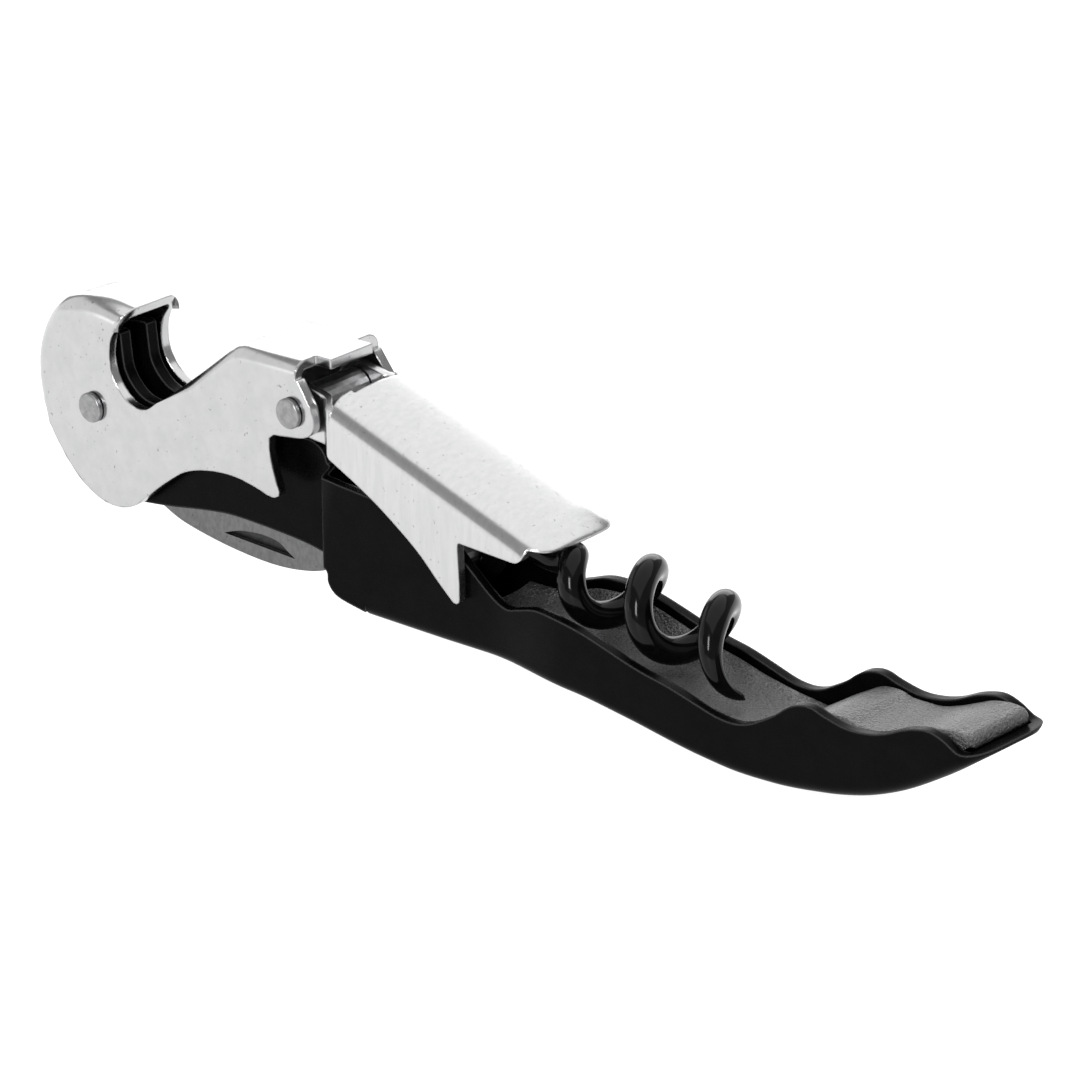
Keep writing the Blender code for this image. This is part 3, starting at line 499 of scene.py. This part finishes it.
def make_insert():
    """Moulded filler in the channel: a wavy top with a hollow under the worm."""
    rings = []
    stations = span(INSERT_START, INSERT_END - INSERT_ROUND, 0.45)
    stations += [INSERT_END - left for left in (0.7, 0.5, 0.32, 0.17, 0.06, 0.0)]
    for x in stations:
        into_end = max(0.0, x - INSERT_END + INSERT_ROUND)
        round_off = INSERT_ROUND - math.sqrt(INSERT_ROUND ** 2 - into_end ** 2)
        w = shell_half(x) - SHELL_WALL - INSERT_GAP - 0.5 * round_off
        top = height_at(INSERT_TOP, x) - round_off
        middle = top - height_at(TROUGH, x)
        slope = slope_at(shell_floor, x, 2 * SHORT)
        low = shell_floor(x) + SHELL_WALL * math.sqrt(1 + slope ** 2) + INSERT_FLOOR_GAP
        low = min(low, top - INSERT_MIN)
        edge = min(INSERT_EDGE, (top - low) * 0.3)
        side = [(w, low + min(0.3, (top - low) * 0.3))]
        side += [(w - edge * (1 - math.cos(a)), top - edge * (1 - math.sin(a)))
                 for a in (math.radians(18 * k) for k in range(6))]
        side += [((w - edge) * k / 12, middle + (top - middle) * (k / 12) ** TROUGH_POWER)
                 for k in range(11, 0, -1)]
        ring = [(x, y, z) for y, z in side] + [(x, 0.0, middle)]
        rings.append(ring + [(x, -y, z) for y, z in reversed(side)])
    insert = loft("insert_fine", rings)
    finished(insert, GRAINED, "handle", ["handle_insert"], sharp=50)


# ---- levers ------------------------------------------------------------------
def inset_path(points, distance):
    """Open path moved to the right of its direction."""
    result = []
    for i, (x, z) in enumerate(points):
        x0, z0 = points[max(i - 1, 0)]
        x1, z1 = points[min(i + 1, len(points) - 1)]
        length = math.hypot(x1 - x0, z1 - z0)
        result.append((x + distance * (z1 - z0) / length, z - distance * (x1 - x0) / length))
    return result


def make_first():
    notch = smooth([(2.6, 18.2), (2.62, 17.4), (2.95, 16.1),
                    (3.8, 14.8), (5.1, 13.85), (6.6, 13.5), (8.0, 13.8), (9.5, 14.9)], 4)
    lobe = [(TONGUE_END, LOBE_TOP + 0.1), (29.95, LOBE_TOP + 0.1)]
    lobe += smooth([(31.8, 20.9), (32.1, 19.8), (32.05, 18.8), (31.5, 18.0), (30.4, 17.5),
                    (28.4, 17.05), (26.4, 16.65)], 4)
    lobe += smooth([(25.75, 16.1), (25.75, 14.8), (26.2, 13.1), (27.0, 10.9)], 4)
    lobe += smooth([(26.9, 10.5), (26.3, 10.2), (25.2, 10.2), (23.4, 10.5), (20.4, 10.65),
                    (16.8, 10.1), (13.4, 8.9), (10.2, 6.7), (7.3, 4.3), (6.0, 3.2), (4.2, 2.4),
                    (2.2, 2.1), (0.0, 2.4), (-2.4, 3.5), (-4.9, 5.65), (-6.85, 8.1)], 5)
    share = [1.0 + (HOOK_ROUND - 1.0) * blend(x, -8.0, 0.0) for x, z in HOOK_WEB]
    outline = [(x, z, part) for (x, z), part in zip(HOOK_WEB, share)]
    outline[-1] = (*HOOK_WEB[-1], HOOK_ROUND, (-1.9, -2.4))
    edge = ((4.55, 22.3, -1.83, -2.2), (4.3, 21.8, -1.6, -2.0), (3.9, 21.3, -1.23, -1.8),
            (3.4, 20.7, -0.76, -1.5), (3.0, 20.1, -0.38, -1.2), (2.8, 19.4, -0.2, -0.9))
    outline += [(x, z, HOOK_ROUND, (dx, dz)) for x, z, dx, dz in edge]
    outline += [(x, z, 0.0) for x, z in notch]
    outline += [(x, z, 1.0) for x, z in BACK_WEB]
    outline += [(x, z, 0.0) for x, z in lobe]
    lever = bent_slab("first_lever_fine", outline, first_half, FIRST_BEND)
    hook, back = inset_path(HOOK_WEB, FIRST_WALL), inset_path(BACK_WEB, FIRST_WALL)
    cavity = [(-12.0, -6.0, 0.0), (-12.0, hook[0][1], 0.0)]
    inner = FIRST_BEND - FIRST_WALL
    cavity += [(x, z, (FIRST_BEND * part - FIRST_WALL) / inner) for (x, z), part in zip(hook, share)]
    cavity += [(6.0, hook[-1][1], 0.0), (13.6, 19.1, 0.0)]
    cavity += [(x, z, 1.0) for x, z in back]
    cavity += [(36.0, back[-1][1], 0.0), (36.0, -6.0, 0.0)]
    cut(lever, bent_slab("inside", cavity, lambda x: first_half(x) - FIRST_WALL, inner))
    corner = [(LOBE_FRONT, LOBE_TOP), (33.0, LOBE_TOP), (33.0, 27.0), (LOBE_FRONT, 27.0)]
    for low, high in ((-8.0, -TONGUE_HALF), (TONGUE_HALF, 8.0)):
        cut(lever, prism("corner", corner, low, high))
    slot = [(HOOK_X - 1.0, 0.0), (-6.0, 0.0), (-6.0, SLOT_TOP), (HOOK_X - 1.0, SLOT_TOP)]
    cut(lever, prism("slot", slot, -SLOT_HALF, SLOT_HALF))
    bore(lever, LEVER_AXIS, RIVET_RADIUS + BORE_PLAY)
    bore(lever, JOINT_AXIS, RIVET_RADIUS + BORE_PLAY)
    clean(lever)
    finished(lever, CHROME, "first_lever", ["first_lever"])


def make_second():
    stations = [25.0, FLARE_START] + span(FLARE_START, SECOND_START - JOIN, 0.2)[1:] + [SECOND_START]
    stations += span(37.0, NOSE_X - NOSE_ROUND, 5.1)
    stations += [NOSE_X - NOSE_ROUND * share
                 for share in (0.85, 0.7, 0.57, 0.45, 0.35, 0.26, 0.18, 0.11, 0.05, 0.0)]
    lever = channel("second_lever_fine", stations, second_half, second_wall, second_web,
                    -4.0, SECOND_BEND, SECOND_CROWN)
    outline = arc(JOINT_AXIS, EAR_RADIUS, 95, 262, 30)
    outline += smooth([(31.0, 17.0), (33.6, 16.9), (34.3, 16.6), (38.2, 14.9), (41.5, 13.2),
                       (45.6, 10.6), (48.4, 8.2), (50.0, 6.9), (50.4, 6.65)], 5)
    outline += [(50.75, 6.65), (50.95, 6.85), (51.0, 7.2), (51.0, 8.7), (50.8, 12.3), (50.85, 12.7),
                (51.1, 12.9)]
    outline += smooth([(57.7, 12.9), (58.3, 13.0), (58.8, 13.4), (59.2, 14.3)], 4)
    outline += [(62.5, 14.0), (62.5, 28.0), (SECOND_START + JOIN, 28.0), (SECOND_START + JOIN, 21.3),
                (31.6, 21.9)]
    cut(lever, prism("side", outline, -CLEAR, CLEAR), "INTERSECT")
    cut(lever, prism("rear_step", REAR_STEP, -REAR_STEP_HALF, REAR_STEP_HALF))
    bore(lever, JOINT_AXIS, RIVET_RADIUS + BORE_PLAY)
    clean(lever)
    finished(lever, SATIN, "second_lever", ["second_lever"])


# ---- worm and blade ----------------------------------------------------------
def make_worm():
    ex, ez = WORM_AXIS
    lean = math.atan(COIL_SLOPE)
    route = []
    for k in range(EYE_STEPS + 1):
        angle = lean + math.radians(90 + EYE_TURN * (1 - k / EYE_STEPS))
        route.append((ex + EYE_RADIUS * math.cos(angle), 0.0, ez + EYE_RADIUS * math.sin(angle),
                      WIRE_RADIUS))
    axis_x = ex - EYE_RADIUS * math.sin(lean)
    axis_z = ez + EYE_RADIUS * math.cos(lean)
    last = COIL_TOP_X + COIL_PITCH * LAST_TURN / 360
    for x in span(SHANK_START, last, COIL_PITCH / 56):
        phase = math.radians(90 + 360 * (x - COIL_TOP_X) / COIL_PITCH)
        taper = math.sqrt(min(1.0, (last - x) / POINT_LENGTH))
        wire = WIRE_RADIUS * (POINT_SHARE + (1 - POINT_SHARE) * taper)
        coil = COIL_RADIUS * blend(x, GROWTH_START, GROWTH_END) + (WIRE_RADIUS - wire)
        along, off = x - axis_x, coil * math.sin(phase)
        route.append((axis_x + along * math.cos(lean) - off * math.sin(lean), coil * math.cos(phase),
                      axis_z + along * math.sin(lean) + off * math.cos(lean), wire))
    points = [Vector(p[:3]) for p in route]
    rings = []
    normal = Vector((0.0, 1.0, 0.0))
    for i, point in enumerate(points):
        tangent = (points[min(i + 1, len(points) - 1)] - points[max(i - 1, 0)]).normalized()
        normal = (normal - tangent * normal.dot(tangent)).normalized()
        other = tangent.cross(normal)
        rings.append([point + route[i][3] * (math.cos(a) * normal + math.sin(a) * other)
                      for a in (2 * math.pi * k / 32 for k in range(32))])
    finished(loft("worm_fine", rings), WORM, "worm", ["worm"], sharp=60)


def make_blade():
    outline = arc(KNIFE_AXIS, TANG_RADIUS, 95, 255, 24)
    outline += smooth([(5.4, 2.2), (8.4, 1.1), (13.0, 0.4), (17.5, 0.1), (21.5, 0.15), (25.0, 0.65),
                       (28.0, 1.55), (31.5, 3.4), BLADE_TIP], 8)
    outline += smooth([(34.4, 6.9), (27.0, 7.0), (18.0, 6.9), (12.0, 7.1), (9.0, 7.6)])
    blade = prism("blade_fine", outline, -BLADE_HALF, BLADE_HALF)
    bore(blade, KNIFE_AXIS, PIN_RADIUS + BORE_PLAY)
    upper = smooth([(14.3, 1.5), (16.2, 2.25), (17.8, 2.6), (19.3, 2.8), (20.9, 2.8), (22.0, 2.6),
                    (22.9, 2.1), (24.0, 1.55)], 4)
    near, deep = -BLADE_HALF - 1.0, -BLADE_HALF + NICK_DEPTH
    bm = bmesh.new()
    front = [bm.verts.new((x, near, z)) for x, z in upper]
    back = [bm.verts.new((x, deep - NICK_SLOPE * (z - NICK_FOOT), z)) for x, z in upper]
    for i in range(len(upper) - 1):
        bm.faces.new((front[i], front[i + 1], back[i + 1], back[i]))
    bm.faces.new((front[-1], front[0], back[0], back[-1]))
    bm.faces.new(front)
    bm.faces.new(back)
    cut(blade, make("nick", bm))
    clean(blade, merge=0.015)
    finished(blade, BLADE, "knife", ["knife_blade"])
    # the nick's floor faces take the darker material, painted shade in the recess
    blade.data.materials.append(NICK_SHADE)
    for face in blade.data.polygons:
        if face.normal.y < -0.9 and face.center.y > (0.02 - BLADE_HALF) * MM:
            face.material_index = 1


def make_rivet(name, node, axis, reach, body):
    """Shank with a low domed head at both ends."""
    tip, rim, fall = reach + HEAD_HEIGHT, 0.22, 0.14
    side = [(HEAD_RADIUS * 0.3, tip), (HEAD_RADIUS * 0.62, tip - 0.05), (HEAD_RADIUS - rim, tip - fall)]
    side += [(HEAD_RADIUS - rim * (1 - math.sin(a)), tip - fall - rim * (1 - math.cos(a)))
             for a in (math.radians(15 * k) for k in range(1, 7))]
    side += [(HEAD_RADIUS, reach), (RIVET_RADIUS, reach)]
    profile = [(r, -y) for r, y in side] + [(r, y) for r, y in reversed(side)]
    finished(turned(name, axis, profile, 96), RIVET, body, [node], sharp=50)


make_shell()
make_insert()
make_first()
make_second()
make_worm()
make_blade()
make_rivet("lever_rivet_fine", "lever_rivet", LEVER_AXIS, first_half(HEAD_RADIUS) + HEAD_PLAY, "handle")
make_rivet("joint_rivet_fine", "joint_rivet", JOINT_AXIS,
           first_half(JOINT_AXIS[0] + HEAD_RADIUS) + HEAD_PLAY, "first_lever")

KEPT = {"lever_washer_left": NYLON, "lever_washer_right": NYLON, "knife_washer_left": NYLON,
        "knife_washer_right": NYLON, "worm_spacer_left": RIVET, "worm_spacer_right": RIVET,
        "knife_pin": RIVET, "worm_pin": RIVET, "spring_pin_front": COAT, "spring_pin_rear": COAT,
        "back_spring": BLADE, "joint_spacer": RIVET}
for node, mat in KEPT.items():
    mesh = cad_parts[node].data
    mesh.materials.clear()
    mesh.materials.append(mat)


# ---- stage, light and camera ---------------------------------------------------
FLOOR_HALF = 1600.0
floor_mesh = bmesh.new()
bmesh.ops.create_grid(floor_mesh, x_segments=4, y_segments=4, size=FLOOR_HALF)
floor = make("floor", floor_mesh)
floor.data.transform(Matrix.Translation((0, 0, -ORIGIN.z)))
floor.data.materials.append(FLOOR)


def card(name, place, aim, width, height, radiance):
    """Soft light of a given brightness, aimed at a point and unseen by the camera."""
    light = bpy.data.lights.new(name, "AREA")
    light.shape = "RECTANGLE"
    light.size, light.size_y = width, height
    light.energy = radiance * width * height * math.pi
    obj = bpy.data.objects.new(name, light)
    bpy.context.scene.collection.objects.link(obj)
    obj.location = place
    obj.rotation_euler = (Vector(aim) - Vector(place)).to_track_quat("-Z", "Y").to_euler()
    obj.visible_camera = False


card("top_light", (0.0, 0.5, 1.3), (0, 0.5, 0), 2.4, 2.6, 1.1)
card("back_light", (-1.2, 1.45, 0.62), (0, 0, 0.1), 1.9, 1.0, 2.6)
card("left_light", (-1.3, -0.55, 0.45), (0, 0, 0.1), 1.8, 0.9, 0.8)
card("low_light", (-0.68, -1.05, 0.13), (0, 0, 0.1), 0.9, 0.24, 1.0)
card("front_strip", (0.42, -0.93, 0.52), (0.02, 0, 0.01), 0.2, 0.5, 26.0)

world = bpy.data.worlds.new("studio")
bpy.context.scene.world = world
world.use_nodes = True
world.node_tree.nodes["Background"].inputs["Color"].default_value = (1.0, 1.0, 1.0, 1.0)
world.node_tree.nodes["Background"].inputs["Strength"].default_value = 0.38

LENS, SENSOR = 226.0, 36.0
CAMERA_PLACE = (0.396926, -0.418585, 0.263629)
CAMERA_RIGHT = Vector((0.7313126, 0.6819984, -0.0077519))
CAMERA_UP = Vector((-0.2676951, 0.2974683, 0.9164343))
CAMERA_VIEW = Vector((-0.6273127, 0.6681249, -0.4001100))
camera_data = bpy.data.cameras.new("camera")
camera_data.lens, camera_data.sensor_width = LENS, SENSOR
camera = bpy.data.objects.new("camera", camera_data)
bpy.context.scene.collection.objects.link(camera)
axes = Matrix((CAMERA_RIGHT, CAMERA_UP, -CAMERA_VIEW)).transposed().to_4x4()
camera.matrix_world = Matrix.Translation(CAMERA_PLACE) @ axes
bpy.context.scene.camera = camera
bpy.context.scene.view_settings.view_transform = "Standard"

bpy.context.view_layer.update()
